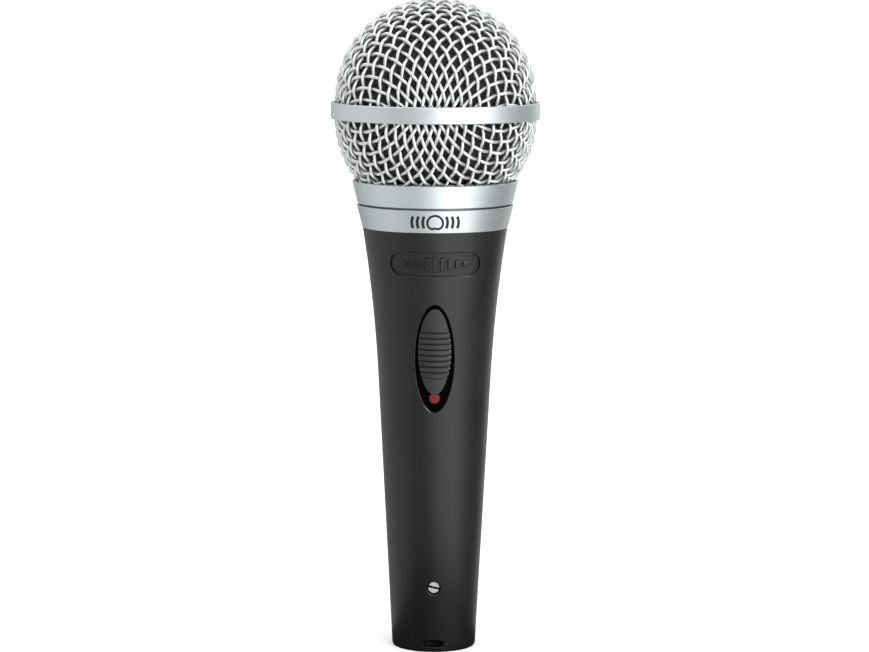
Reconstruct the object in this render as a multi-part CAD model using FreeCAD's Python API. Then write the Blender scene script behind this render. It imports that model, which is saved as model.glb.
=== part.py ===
import FreeCAD, Part
import math
import os
from FreeCAD import Placement, Rotation, Vector

# Handheld dynamic vocal microphone. Millimetres, +Z from the connector rim to
# the top of the grille, origin at the centre of the rim, the switch faces -Y.

# handle
Z_RIM_EDGE = 0.55
R_RIM = 10.45
Z_BEND = 70.0
R_BEND = 14.37
TAPER = 0.0531
R_FLARE = 356.0
Z_HANDLE_TOP = 108.0
R_SOCKET_BORE = 9.45
Z_STOP = 24.85
R_STOP = 8.7
R_SPIGOT = 16.6
Z_SPIGOT_TOP = 113.2
R_SPIGOT_BORE = 15.6

# name band and threaded seat
BAND_R_LOW = 18.5
BAND_R_TOP = 19.96
BAND_Z_TOP = 113.7
THREAD_R = 18.0
THREAD_Z_TOP = 118.2
SEAT_BORE = 14.0

# grille
COLLAR_Z = 114.15
COLLAR_TOP = 119.84
COLLAR_R_LOW = 19.75
COLLAR_R_TOP = 21.05
COLLAR_BORE = 18.08
POCKET_R = 20.3
POCKET_Z = 118.3
MESH_T = 0.9
BOWL_R = 25.65
BOWL_Z = 135.6
BOWL_SKIRT_R = 20.24
DOME_R = 25.5
DOME_Z = 140.45
RING_R = 26.5
RING_BORE = 25.7
RING_LOW = 135.4
RING_TOP = 139.6
FOAM_R = 23.6
FOAM_T = 2.2
FOAM_MOUTH_Z = 120.4

# badge recess on the front of the handle
BADGE_Z = 100.0
BADGE_W = 22.5
BADGE_H = 5.95
BADGE_DEPTH = 0.5

# slide switch, in a frame that lies on the front of the handle
SWITCH_Z_LOW = 62.25
SWITCH_Z_HIGH = 89.65
SWITCH_HALF_W = 4.87
SWITCH_TRAVEL = 3.7
BUTTON_HALF_L = 11.0
BUTTON_HALF_W = 4.05
BUTTON_PROUD = 0.3
PLATE_FACE = 1.9

# connector
SKIRT_R = 9.4
SKIRT_BORE = 8.1
SKIRT_Z = 0.6
INSERT_FACE = 13.8
PIN_R = 1.2
SHANK_R = 1.4
PIN_CIRCLE = 5.0
PIN_TIP_Z = 2.0
SCREW_Z = 16.65
SCREW_R = 1.55
SCREW_SUNK = 1.6

# capsule
CAP_R = 14.95
HOUSING_BORE = 13.5
CHAMBER_R = 10.5


def outer_radius(z):
    straight = R_BEND - TAPER * (Z_BEND - z)
    if z <= Z_BEND:
        return straight
    return straight + (z - Z_BEND) ** 2 / (2 * R_FLARE)


def point(r, z):
    return Vector(r, 0, z)


def turned(steps):
    """Full turn about Z of a closed outline; a step is (r, z) or a mid and end point of an arc."""
    edges = []
    here = steps[0]
    for step in steps[1:] + [steps[0]]:
        if isinstance(step[0], tuple):
            arc = Part.Arc(point(*here), point(*step[0]), point(*step[1]))
            edges.append(arc.toShape())
            here = step[1]
        else:
            edges.append(Part.makeLine(point(*here), point(*step)))
            here = step
    face = Part.Face(Part.Wire(edges))
    return face.revolve(Vector(0, 0, 0), Vector(0, 0, 1), 360)


def tube(r_in, r_out, z_low, z_high):
    outer = Part.makeCylinder(r_out, z_high - z_low, Vector(0, 0, z_low))
    if r_in <= 0:
        return outer
    return outer.cut(Part.makeCylinder(r_in, z_high - z_low, Vector(0, 0, z_low)))


def on_sphere(radius, centre_z, z):
    return (math.sqrt(radius ** 2 - (z - centre_z) ** 2), z)


def export(shape, node):
    shape = shape.removeSplitter()
    if shape.ShapeType == "Compound" and len(shape.Solids) == 1:
        shape = shape.Solids[0]
    if not shape.isValid() or shape.Volume <= 0:
        raise RuntimeError(node + " is not a valid solid")
    shape.exportStep("parts/" + node + ".step")


# ---------------------------------------------------------------- switch frame

SWITCH_MID = (SWITCH_Z_LOW + SWITCH_Z_HIGH) / 2
SWITCH_HALF_L = (SWITCH_Z_HIGH - SWITCH_Z_LOW) / 2
LOW_FRONT = outer_radius(SWITCH_Z_LOW)
HIGH_FRONT = outer_radius(SWITCH_Z_HIGH)
TILT = math.degrees(math.atan2(HIGH_FRONT - LOW_FRONT, 2 * SWITCH_HALF_L))
ON_FRONT = Placement(
    Vector(0, -(LOW_FRONT + HIGH_FRONT) / 2, SWITCH_MID),
    Rotation(Vector(1, 0, 0), TILT),
)


def laid(shape):
    """Puts a shape drawn at the origin (X across, Z up, +Y inwards) on the handle's front."""
    moved = shape.copy()
    moved.Placement = ON_FRONT.multiply(moved.Placement)
    return moved


def oval_block(half_w, half_l, y_front, y_back, z=0.0):
    ellipse = Part.Ellipse(Vector(0, 0, 0), half_l, half_w)
    edge = ellipse.toShape()
    edge.rotate(Vector(0, 0, 0), Vector(0, 0, 1), 90)
    edge.rotate(Vector(0, 0, 0), Vector(1, 0, 0), 90)
    edge.translate(Vector(0, y_front, z))
    face = Part.Face(Part.Wire([edge]))
    return face.extrude(Vector(0, y_back - y_front, 0))


def block(half_x, y_front, y_back, z_low, z_high):
    corner = Vector(-half_x, y_front, z_low)
    return Part.makeBox(2 * half_x, y_back - y_front, z_high - z_low, corner)


# ---------------------------------------------------------------- handle body

def handle_solid(skin=0.0):
    """The handle's outer form, taken in by skin."""
    middle_z = (Z_BEND + Z_HANDLE_TOP) / 2
    return turned([
        (0, 0),
        (R_RIM - skin, 0),
        (outer_radius(Z_RIM_EDGE) - skin, Z_RIM_EDGE),
        (R_BEND - skin, Z_BEND),
        ((outer_radius(middle_z) - skin, middle_z), (outer_radius(Z_HANDLE_TOP) - skin, Z_HANDLE_TOP)),
        (0, Z_HANDLE_TOP),
    ])


def handle_cavity():
    return turned([
        (0, -1),
        (R_SOCKET_BORE + 0.15, -1),
        (R_SOCKET_BORE + 0.15, 0),
        (R_SOCKET_BORE, 0.15),
        (R_SOCKET_BORE, Z_STOP),
        (R_STOP, Z_STOP),
        (R_STOP, Z_STOP + 1.2),
        (10.0, Z_STOP + 2.5),
        (12.3, 70),
        (R_SPIGOT_BORE, 104),
        (R_SPIGOT_BORE, 120),
        (0, 120),
    ])


def obround(width, height, z, y_front, y_back):
    r = height / 2
    half = width / 2 - r
    shape = block(half, y_front, y_back, z - r, z + r)
    for side in (-half, half):
        end = Part.makeCylinder(r, y_back - y_front, Vector(side, y_front, z), Vector(0, 1, 0))
        shape = shape.fuse(end)
    return shape.removeSplitter()


def badge_bars(z):
    """Nine upright level bars that stay standing in the recess, tallest in the middle."""
    bars = []
    for i in range(-4, 5):
        half_h = 1.95 - 0.32 * abs(i)
        bar = Part.makeBox(1.2, 20, 2 * half_h, Vector(1.9 * i - 0.6, -25, z - half_h))
        bars.append(bar)
    return Part.makeCompound(bars)


def rim_edges(body, half_x, z_low, z_high):
    """Edges that lie on the handle's outer skin inside a window on its front."""
    found = []
    for edge in body.Edges:
        span = edge.LastParameter - edge.FirstParameter
        points = [edge.valueAt(edge.FirstParameter + span * t) for t in (0.1, 0.3, 0.5, 0.7, 0.9)]
        on_skin = all(abs(math.hypot(p.x, p.y) - outer_radius(p.z)) < 0.02 for p in points)
        in_window = all(abs(p.x) < half_x and p.y < 0 and z_low < p.z < z_high for p in points)
        if on_skin and in_window:
            found.append(edge)
    return found


def make_handle_body():
    spigot = tube(0, R_SPIGOT, Z_HANDLE_TOP - 0.5, Z_SPIGOT_TOP)
    body = handle_solid().fuse(spigot).cut(handle_cavity())
    recess = obround(BADGE_W, BADGE_H, BADGE_Z, -25, -5).cut(badge_bars(BADGE_Z))
    recess = recess.cut(handle_solid(BADGE_DEPTH))
    body = body.cut(recess)
    opening = laid(oval_block(SWITCH_HALF_W, SWITCH_HALF_L, -4, 6))
    body = body.cut(opening)
    hole = Part.makeCylinder(1.75, 8, Vector(0, -14, SCREW_Z), Vector(0, 1, 0))
    body = body.cut(hole)
    window = obround(5.2, 1.8, 2.2, -14, -6)
    body = body.cut(window).removeSplitter()
    body = body.makeChamfer(0.25, rim_edges(body, 6, 61, 91))
    body = body.makeFillet(0.12, rim_edges(body, 3, 0.9, 20))
    return body.makeChamfer(0.18, rim_edges(body, 12, 96, 104))


def make_name_band():
    return turned([
        (R_SPIGOT + 0.02, Z_HANDLE_TOP),
        (BAND_R_LOW - 0.1, Z_HANDLE_TOP),
        (BAND_R_LOW, Z_HANDLE_TOP + 0.1),
        (BAND_R_TOP - 0.05, BAND_Z_TOP - 0.12),
        (BAND_R_TOP - 0.2, BAND_Z_TOP),
        (R_SPIGOT + 2.2, BAND_Z_TOP),
        (R_SPIGOT + 2.0, Z_SPIGOT_TOP),
        (R_SPIGOT + 0.02, Z_SPIGOT_TOP),
    ])


def make_threaded_seat():
    return turned([
        (SEAT_BORE, 106),
        (R_SPIGOT_BORE - 0.02, 106),
        (R_SPIGOT_BORE - 0.02, Z_SPIGOT_TOP),
        (THREAD_R, Z_SPIGOT_TOP),
        (THREAD_R, THREAD_Z_TOP - 0.4),
        (THREAD_R - 0.4, THREAD_Z_TOP),
        (SEAT_BORE, THREAD_Z_TOP),
    ])


# ---------------------------------------------------------------- grille

def make_grille_dome():
    """Plain shell in the place of the woven wire: hemisphere with a short skirt in the ring."""
    inner = DOME_R - MESH_T
    s = math.sqrt(0.5)
    skirt = 137.9
    return turned([
        (DOME_R, skirt),
        (DOME_R, DOME_Z),
        ((DOME_R * s, DOME_Z + DOME_R * s), (0, DOME_Z + DOME_R)),
        (0, DOME_Z + inner),
        ((inner * s, DOME_Z + inner * s), (inner, DOME_Z)),
        (inner, skirt),
    ])


def make_grille_bowl():
    """Plain shell in the place of the woven wire, with its lower edge in the collar."""
    inner = BOWL_R - MESH_T
    skirt = 137.1
    edge_in = BOWL_SKIRT_R - MESH_T
    foot_z = BOWL_Z - math.sqrt(BOWL_R ** 2 - BOWL_SKIRT_R ** 2)
    edge_z = BOWL_Z - math.sqrt(inner ** 2 - edge_in ** 2)
    return turned([
        (BOWL_SKIRT_R, POCKET_Z),
        (BOWL_SKIRT_R, foot_z),
        (on_sphere(BOWL_R, BOWL_Z, 127), (BOWL_R, BOWL_Z)),
        (BOWL_R, skirt),
        (inner, skirt),
        (inner, BOWL_Z),
        (on_sphere(inner, BOWL_Z, 127), (edge_in, edge_z)),
        (edge_in, POCKET_Z),
    ])


def make_grille_band():
    e = 0.3
    c = e * (1 - math.sqrt(0.5))
    rib = 24.9
    return turned([
        (RING_BORE, RING_LOW),
        (RING_R - e, RING_LOW),
        ((RING_R - c, RING_LOW + c), (RING_R, RING_LOW + e)),
        (RING_R, RING_TOP - e),
        ((RING_R - c, RING_TOP - c), (RING_R - e, RING_TOP)),
        (RING_BORE, RING_TOP),
        (RING_BORE, 137.8),
        (rib, 137.8),
        (rib, 137.2),
        (RING_BORE, 137.2),
    ])


def make_grille_collar():
    return turned([
        (COLLAR_BORE + 0.3, COLLAR_Z),
        (COLLAR_R_LOW - 0.15, COLLAR_Z),
        (COLLAR_R_LOW, COLLAR_Z + 0.12),
        (COLLAR_R_TOP, COLLAR_TOP - 0.12),
        (COLLAR_R_TOP - 0.15, COLLAR_TOP),
        (POCKET_R + 0.05, COLLAR_TOP),
        (POCKET_R, COLLAR_TOP - 0.1),
        (POCKET_R, POCKET_Z),
        (COLLAR_BORE, POCKET_Z),
        (COLLAR_BORE, COLLAR_Z + 0.3),
    ])


def make_grille_clamp_ring():
    return tube(COLLAR_BORE + 0.04, 18.6, POCKET_Z, 120.0)


def make_foam_liner():
    """Open-cell foam cup that lines both halves of the grille."""
    inner = FOAM_R - FOAM_T
    s = math.sqrt(0.5)
    return turned([
        on_sphere(FOAM_R, BOWL_Z, FOAM_MOUTH_Z),
        (on_sphere(FOAM_R, BOWL_Z, 127), (FOAM_R, BOWL_Z)),
        (FOAM_R, DOME_Z),
        ((FOAM_R * s, DOME_Z + FOAM_R * s), (0, DOME_Z + FOAM_R)),
        (0, DOME_Z + inner),
        ((inner * s, DOME_Z + inner * s), (inner, DOME_Z)),
        (inner, BOWL_Z),
        (on_sphere(inner, BOWL_Z, 127), on_sphere(inner, BOWL_Z, FOAM_MOUTH_Z)),
    ])


# ---------------------------------------------------------------- capsule

def make_resonator_cap():
    cap = tube(0, CAP_R, 139.02, 140.6).fuse(tube(12.5, 13.4, 136.5, 139.02))
    cap = cap.cut(Part.makeCylinder(1.6, 5, Vector(0, 0, 137)))
    for ring_r, count, hole_r in ((5.0, 6, 1.3), (9.6, 12, 1.3)):
        for i in range(count):
            a = 2 * math.pi * i / count
            at = Vector(ring_r * math.cos(a), ring_r * math.sin(a), 137)
            cap = cap.cut(Part.makeCylinder(hole_r, 5, at))
    return cap


def make_resonator_cloth():
    return tube(0, 12.4, 138.78, 139.02)


def make_cartridge_housing():
    body = tube(HOUSING_BORE, 15.0, 120.9, 139.0).fuse(tube(9.8, 15.0, 120.9, 121.4))
    body = body.fuse(tube(12.4, HOUSING_BORE, 135.3, 136.3))
    for i in range(8):
        slot = Part.makeBox(6, 6, 1.4, Vector(11, -3, 133.6))
        slot.rotate(Vector(0, 0, 0), Vector(0, 0, 1), 45 * i)
        body = body.cut(slot)
    return body


def make_diaphragm():
    """Film with a flat roll at the edge and a domed centre."""
    film = 0.15
    rim_z = 136.32
    dome_r = 21.7
    centre_z = rim_z - math.sqrt(dome_r ** 2 - 8.6 ** 2)
    outer = dome_r + film
    outer_foot = math.sqrt(outer ** 2 - (rim_z + film - centre_z) ** 2)
    return turned([
        (0, centre_z + dome_r),
        (on_sphere(dome_r, centre_z, centre_z + 21.2), (8.6, rim_z)),
        (13.35, rim_z),
        (13.35, rim_z + film),
        (outer_foot, rim_z + film),
        (on_sphere(outer, centre_z, centre_z + 21.35), (0, centre_z + outer)),
    ])


def make_voice_coil():
    return tube(8.2, 8.8, 130.9, 134.0)


def make_coil_former():
    return tube(8.04, 8.18, 130.9, 136.28)


def make_top_plate():
    return tube(9.1, 13.45, 131.2, 133.2)


def make_pole_piece():
    return tube(0, 7.75, 130.2, 133.2)


def make_magnet():
    return tube(0, 7.2, 123.0, 130.2)


def make_yoke():
    return tube(0, 13.45, 121.4, 123.0).fuse(tube(11.9, 13.45, 123.0, 131.2))


def make_rear_chamber():
    return tube(9.7, CHAMBER_R, 92.0, 120.9).fuse(tube(0, CHAMBER_R, 92.0, 93.0))


def make_damping_felt():
    return tube(0, 9.65, 117.4, 119.0)


def make_terminal_board():
    board = tube(0, 8.5, 90.6, 92.0)
    return board


def make_cartridge_lugs():
    lugs = []
    for x in (-2.5, 2.5):
        lugs.append(Part.makeBox(2.2, 0.5, 1.7, Vector(x - 1.1, 2.75, 88.9)))
    return Part.makeCompound(lugs)


def make_shock_mount():
    """Rubber ring: inner sleeve on the chamber, web, outer sleeve and lip on the seat."""
    return turned([
        (CHAMBER_R + 0.02, 112.0),
        (11.4, 112.0),
        (11.4, 115.2),
        (13.0, 115.2),
        (13.0, 112.6),
        (SEAT_BORE - 0.02, 112.6),
        (SEAT_BORE - 0.02, THREAD_Z_TOP),
        (16.0, THREAD_Z_TOP),
        (16.0, THREAD_Z_TOP + 1.0),
        (13.0, THREAD_Z_TOP + 1.0),
        (13.0, 116.8),
        (11.4, 116.8),
        (11.4, 120.2),
        (CHAMBER_R + 0.02, 120.2),
    ])


# ---------------------------------------------------------------- switch

def make_switch_plate():
    plug = oval_block(SWITCH_HALF_W - 0.08, SWITCH_HALF_L - 0.08, PLATE_FACE, 4.1)
    flange = oval_block(6.2, 15.0, 4.1, 4.9)
    slot = block(1.7, PLATE_FACE - 1, 6, -4.75, 4.75)
    return laid(plug.fuse(flange).cut(slot))


def make_status_dot():
    return laid(Part.makeCylinder(1.3, 0.12, Vector(0, PLATE_FACE - 0.12, -10.35), Vector(0, 1, 0)))


def make_switch_button():
    """Oval slider with a crowned top, eight grip grooves and a lowered lower tip."""
    z = SWITCH_TRAVEL / 2
    crown_r = 12.0
    crown = Part.makeCylinder(crown_r, 30, Vector(0, crown_r - BUTTON_PROUD, -15), Vector(0, 0, 1))
    body = oval_block(BUTTON_HALF_W, BUTTON_HALF_L, -2, PLATE_FACE - 0.3, z).common(crown)
    low_crown = Part.makeCylinder(crown_r, 30, Vector(0, crown_r - BUTTON_PROUD + 0.4, -15), Vector(0, 0, 1))
    pad = oval_block(5.4, 9.6, -3, 3, z + 3.3)
    body = body.cut(block(6, -3, 2, z - 12, z).cut(pad).cut(low_crown))
    for i in range(8):
        groove_z = z + 4.96 - 1.45 * i
        deep = Part.makeCylinder(crown_r, 30, Vector(0, crown_r - BUTTON_PROUD + 0.75, -15), Vector(0, 0, 1))
        groove = block(3.35, -3, 2, groove_z - 0.3, groove_z + 0.3).cut(deep)
        body = body.cut(groove)
    stem = block(1.3, 1.0, 6.2, z - 2.3, z + 2.3)
    return laid(body.fuse(stem))


def make_switch_actuator():
    z = SWITCH_TRAVEL / 2
    shoe = block(2.8, 6.2, 9.5, z - 3.4, z + 3.4)
    return laid(shoe)


def make_switch_case():
    case = block(4.2, 4.9, 10.9, -9.5, 9.5)
    room = block(3.2, 5.8, 10.0, -8.3, 8.3)
    slot = block(1.7, 4, 6.5, -4.75, 4.75)
    return laid(case.cut(room).cut(slot))


def make_switch_terminals():
    tabs = []
    for z in (-5.5, 0.0, 5.5):
        tabs.append(block(0.9, 10.9, 13.2, z - 0.3, z + 0.3))
    return laid(Part.makeCompound(tabs))


# ---------------------------------------------------------------- connector

def pin_place(number):
    angle = math.radians({1: -150, 2: -30, 3: 90}[number])
    return Vector(PIN_CIRCLE * math.cos(angle), PIN_CIRCLE * math.sin(angle), 0)


def make_xlr_insert():
    shape = tube(SKIRT_BORE, SKIRT_R, SKIRT_Z, 24.8).fuse(tube(0, SKIRT_R, INSERT_FACE, 20.5))
    key = Part.makeBox(2.2, 1.2, INSERT_FACE - 5.0, Vector(-1.1, -SKIRT_BORE - 0.2, 5.0))
    shape = shape.fuse(key)
    for number in (1, 2, 3):
        shape = shape.cut(Part.makeCylinder(SHANK_R + 0.02, 10, pin_place(number) + Vector(0, 0, 12)))
    window = obround(5.2, 1.8, 2.2, -14, -6)
    pocket = Part.makeCylinder(2.6, 4, Vector(0, -10.4, SCREW_Z), Vector(0, 1, 0))
    clearance = Part.makeCylinder(1.7, 6, Vector(0, -10.4, SCREW_Z), Vector(0, 1, 0))
    return shape.cut(window).cut(pocket).cut(clearance)


def make_pin(number):
    """Contact pin: free end with a round tip, a thicker shank in the insert and a solder cup."""
    at = pin_place(number)
    round_tip = Part.makeSphere(PIN_R, at + Vector(0, 0, PIN_TIP_Z + PIN_R))
    free = Part.makeCylinder(PIN_R, INSERT_FACE - PIN_TIP_Z - PIN_R, at + Vector(0, 0, PIN_TIP_Z + PIN_R))
    shank = Part.makeCylinder(SHANK_R, 24.5 - INSERT_FACE, at + Vector(0, 0, INSERT_FACE))
    cup = Part.makeCylinder(0.8, 3, at + Vector(0, 0, 22.0))
    return free.fuse(round_tip).fuse(shank).cut(cup)


def make_screw_bush():
    y = -9.0
    bush = Part.makeCylinder(2.55, 2.55, Vector(0, y, SCREW_Z), Vector(0, 1, 0))
    return bush.cut(Part.makeCylinder(SCREW_R + 0.03, 4, Vector(0, y - 1, SCREW_Z), Vector(0, 1, 0)))


def make_set_screw():
    """Slotted set screw, backed out into the hole of the handle, where it locks the insert."""
    front = -(outer_radius(SCREW_Z) - SCREW_SUNK)
    screw = Part.makeCylinder(SCREW_R, 4.5, Vector(0, front, SCREW_Z), Vector(0, 1, 0))
    screw = screw.makeChamfer(0.15, [screw.Edges[0], screw.Edges[2]])
    slot = Part.makeBox(5, 1.0, 0.55, Vector(-2.5, front - 0.1, SCREW_Z - 0.275))
    slot.rotate(Vector(0, 0, SCREW_Z), Vector(0, 1, 0), 14)
    return screw.cut(slot)


def make_wire(stops):
    r = 0.55
    shape = None
    for a, b in zip(stops, stops[1:]):
        start = Vector(*a)
        run = Vector(*b) - start
        piece = Part.makeCylinder(r, run.Length, start, run)
        shape = piece if shape is None else shape.fuse(piece)
        if b != stops[-1]:
            shape = shape.fuse(Part.makeSphere(r, Vector(*b)))
    return shape


def make_wire_hot():
    return make_wire([(4.33, -2.5, 24.6), (5.5, 1.5, 34), (5.5, 4.5, 60), (4.0, 5.0, 82), (2.5, 3.0, 88.2)])


def make_wire_cold():
    return make_wire([(0, 5.0, 24.6), (0, 6.5, 36), (0, 7.5, 60), (-1.5, 7.0, 80), (-2.5, 3.0, 88.2)])


def make_wire_ground():
    return make_wire([(-4.33, -2.5, 24.6), (-5.5, 0.5, 34), (-4.5, 1.5, 58), (-1.5, -0.2, 69.6)])


PARTS = {
    "handle_body": make_handle_body,
    "name_band": make_name_band,
    "threaded_seat": make_threaded_seat,
    "grille_dome": make_grille_dome,
    "grille_bowl": make_grille_bowl,
    "grille_band": make_grille_band,
    "grille_collar": make_grille_collar,
    "grille_clamp_ring": make_grille_clamp_ring,
    "foam_liner": make_foam_liner,
    "resonator_cap": make_resonator_cap,
    "resonator_cloth": make_resonator_cloth,
    "cartridge_housing": make_cartridge_housing,
    "diaphragm": make_diaphragm,
    "voice_coil": make_voice_coil,
    "coil_former": make_coil_former,
    "top_plate": make_top_plate,
    "pole_piece": make_pole_piece,
    "magnet": make_magnet,
    "yoke": make_yoke,
    "rear_chamber": make_rear_chamber,
    "damping_felt": make_damping_felt,
    "terminal_board": make_terminal_board,
    "cartridge_lugs": make_cartridge_lugs,
    "shock_mount": make_shock_mount,
    "switch_plate": make_switch_plate,
    "status_dot": make_status_dot,
    "switch_button": make_switch_button,
    "switch_actuator": make_switch_actuator,
    "switch_case": make_switch_case,
    "switch_terminals": make_switch_terminals,
    "xlr_insert": make_xlr_insert,
    "screw_bush": make_screw_bush,
    "set_screw": make_set_screw,
    "wire_hot": make_wire_hot,
    "wire_cold": make_wire_cold,
    "wire_ground": make_wire_ground,
}

os.makedirs("parts", exist_ok=True)
for node, make in PARTS.items():
    export(make(), node)
for number in (1, 2, 3):
    export(make_pin(number), "xlr_pin_" + str(number))
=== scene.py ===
import math

import bpy
from mathutils import Matrix, Vector, noise


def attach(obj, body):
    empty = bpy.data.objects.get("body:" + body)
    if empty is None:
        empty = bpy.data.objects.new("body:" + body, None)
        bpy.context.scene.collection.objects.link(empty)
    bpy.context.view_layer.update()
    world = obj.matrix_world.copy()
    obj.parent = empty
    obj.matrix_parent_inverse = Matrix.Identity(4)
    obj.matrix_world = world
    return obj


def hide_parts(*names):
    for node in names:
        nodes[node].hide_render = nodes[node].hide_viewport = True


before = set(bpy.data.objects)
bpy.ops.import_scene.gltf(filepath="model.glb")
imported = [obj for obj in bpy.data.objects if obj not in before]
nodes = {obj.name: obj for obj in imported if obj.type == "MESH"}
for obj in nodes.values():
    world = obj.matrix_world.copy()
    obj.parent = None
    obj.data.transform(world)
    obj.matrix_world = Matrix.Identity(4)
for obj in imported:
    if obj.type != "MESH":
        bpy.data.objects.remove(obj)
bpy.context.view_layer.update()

MM = 0.001
scene = bpy.context.scene
scene.view_settings.view_transform = "Standard"

# ------------------------------------------------------------------ camera
# A telephoto lens at three quarters of a metre, a little above the top of the
# microphone and looking slightly down at its front.
LOOK_DOWN, ROLL = math.radians(7.305), math.radians(-0.2)
camera_data = bpy.data.cameras.new("camera")
camera_data.sensor_width = 36.0
camera_data.lens = 122.86
camera = bpy.data.objects.new("camera", camera_data)
camera.location = (-0.4 * MM, -750.3 * MM, 178.7 * MM)
camera.rotation_euler = (math.radians(90) - LOOK_DOWN, ROLL, 0)
scene.collection.objects.link(camera)
scene.camera = camera

# ------------------------------------------------------------------ handle
# Die-cast zinc tube, sprayed with black enamel and baked to a satin coat. Inside
# the cast emblem recess the spray lands thin, so the coat is duller there.


def srgb(code):
    """Linear colour of a hex code such as 4a4b4f."""
    out = []
    for i in (0, 2, 4):
        c = int(code[i:i + 2], 16) / 255
        out.append(c / 12.92 if c <= 0.04045 else ((c + 0.055) / 1.055) ** 2.4)
    return (*out, 1.0)


def add(tree, kind, settings=None, **links):
    """Adds one node; settings are attributes or socket values, links are socket=output."""
    node = tree.nodes.new(kind)
    for name, value in (settings or {}).items():
        if isinstance(name, int) or name in node.inputs:
            node.inputs[name].default_value = value
        else:
            setattr(node, name, value)
    for name, source in links.items():
        key = int(name[1:]) if name[0] == "_" else name.replace("_", " ")
        tree.links.new(source, node.inputs[key])
    return node


def finish_of(name, **sockets):
    """A material with only its shader, whose plain values are set on its own sockets."""
    material = bpy.data.materials.new(name)
    material.use_nodes = True
    tree = material.node_tree
    tree.nodes.clear()
    shader = tree.nodes.new("ShaderNodeBsdfPrincipled")
    for socket, value in sockets.items():
        shader.inputs[socket.replace("_", " ")].default_value = value
    out = tree.nodes.new("ShaderNodeOutputMaterial")
    tree.links.new(shader.outputs[0], out.inputs[0])
    return material, tree, shader


def where_on_piece(tree):
    """The place of a surface point in the frame of its piece."""
    return add(tree, "ShaderNodeTexCoord").outputs["Object"]


def shade_between(tree, shader, level, dark, light):
    """Colours the surface from dark to light as level goes from 0 to 1."""
    mix = add(tree, "ShaderNodeMix", {"data_type": "RGBA", 6: srgb(dark), 7: srgb(light)}, Factor=level)
    tree.links.new(mix.outputs[2], shader.inputs["Base Color"])


def raise_surface(tree, shader, level, height, **links):
    """Raises the surface by height mm as level goes from 0 to 1."""
    bump = add(tree, "ShaderNodeBump", {"Distance": height * MM}, Height=level, **links)
    tree.links.new(bump.outputs[0], shader.inputs["Normal"])


def round_skin(tree, normal, low, low_slope, high, high_slope):
    """On the skin of the handle, which is round about the upright axis, its exact normal; on all
    other faces the given normal, so that the long triangles of the skin don't show. The radius
    grows with height by low_slope up to the height low, and by high_slope at the height high."""
    place = where_on_piece(tree)
    level = add(tree, "ShaderNodeVectorMath", {"operation": "MULTIPLY", 1: (1, 1, 0)}, _0=place)
    away = add(tree, "ShaderNodeVectorMath", {"operation": "NORMALIZE"}, _0=level.outputs[0])
    height = add(tree, "ShaderNodeSeparateXYZ", _0=place).outputs["Z"]
    slope = add(tree, "ShaderNodeMapRange", {
        "From Min": low, "From Max": high, "To Min": -low_slope, "To Max": -high_slope}, Value=height)
    down = add(tree, "ShaderNodeCombineXYZ", Z=slope.outputs[0])
    leaning = add(tree, "ShaderNodeVectorMath", {"operation": "ADD"}, _0=away.outputs[0], _1=down.outputs[0])
    exact = add(tree, "ShaderNodeVectorMath", {"operation": "NORMALIZE"}, _0=leaning.outputs[0])
    face = add(tree, "ShaderNodeNewGeometry").outputs["True Normal"]
    alike = add(tree, "ShaderNodeVectorMath", {"operation": "DOT_PRODUCT"}, _0=exact.outputs[0], _1=face)
    on_skin = add(tree, "ShaderNodeMapRange", {
        "interpolation_type": "SMOOTHSTEP", "From Min": 0.94, "From Max": 0.98}, Value=alike.outputs["Value"])
    mix = add(tree, "ShaderNodeMix", {"data_type": "VECTOR"}, _0=on_skin.outputs[0], _4=normal,
              _5=exact.outputs[0])
    return mix.outputs[1]


def texture_of_surface(tree, shader, cell, height, shades=None, gloss=None, squeeze=(1, 1, 1), detail=2.0,
                       edge=0, skin=None):
    """Noise with cells of so many mm that raises the surface by height mm, moves the colour between
    two shades and the roughness between two values, over edges rounded by edge mm. With a skin,
    which holds the heights and slopes for round_skin, the handle's skin gets its exact normal."""
    where = where_on_piece(tree)
    if squeeze != (1, 1, 1):
        where = add(tree, "ShaderNodeMapping", {"Scale": squeeze}, Vector=where).outputs[0]
    grain = add(tree, "ShaderNodeTexNoise", {"Scale": 1 / (cell * MM), "Detail": detail}, Vector=where)
    level = grain.outputs["Fac"]
    links = {}
    if edge:
        rounded = add(tree, "ShaderNodeBevel", {"samples": 6, "Radius": edge * MM}).outputs[0]
        links["Normal"] = round_skin(tree, rounded, *skin) if skin else rounded
    raise_surface(tree, shader, level, height, **links)
    if shades:
        shade_between(tree, shader, level, *shades)
    if gloss:
        span = add(tree, "ShaderNodeMapRange", {
            "From Min": 0.3, "From Max": 0.7, "To Min": gloss[0], "To Max": gloss[1]}, Value=level)
        tree.links.new(span.outputs[0], shader.inputs["Roughness"])


def paint(material, *names):
    """Gives shown CAD nodes their finish."""
    for name in names:
        mesh = nodes[name].data
        mesh.materials.clear()
        mesh.materials.append(material)


# Baked enamel: deep black, satin, with an orange peel of about half a millimetre
# and slow changes of gloss over the grip.
FLARE = (70 * MM, 0.0531, 107.9 * MM, 0.1596)
enamel, tree, shader = finish_of("black_baked_enamel", Base_Color=srgb("0d0d0e"), IOR=1.45)
texture_of_surface(tree, shader, 0.5, 0.004, edge=0.3, skin=FLARE)
handled = add(tree, "ShaderNodeTexNoise", {"Scale": 1 / (14 * MM), "Detail": 1.0},
              Vector=where_on_piece(tree))
coat = add(tree, "ShaderNodeMapRange", {"From Min": 0.3, "From Max": 0.7, "To Min": 0.30, "To Max": 0.37},
           Value=handled.outputs["Fac"])
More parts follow.
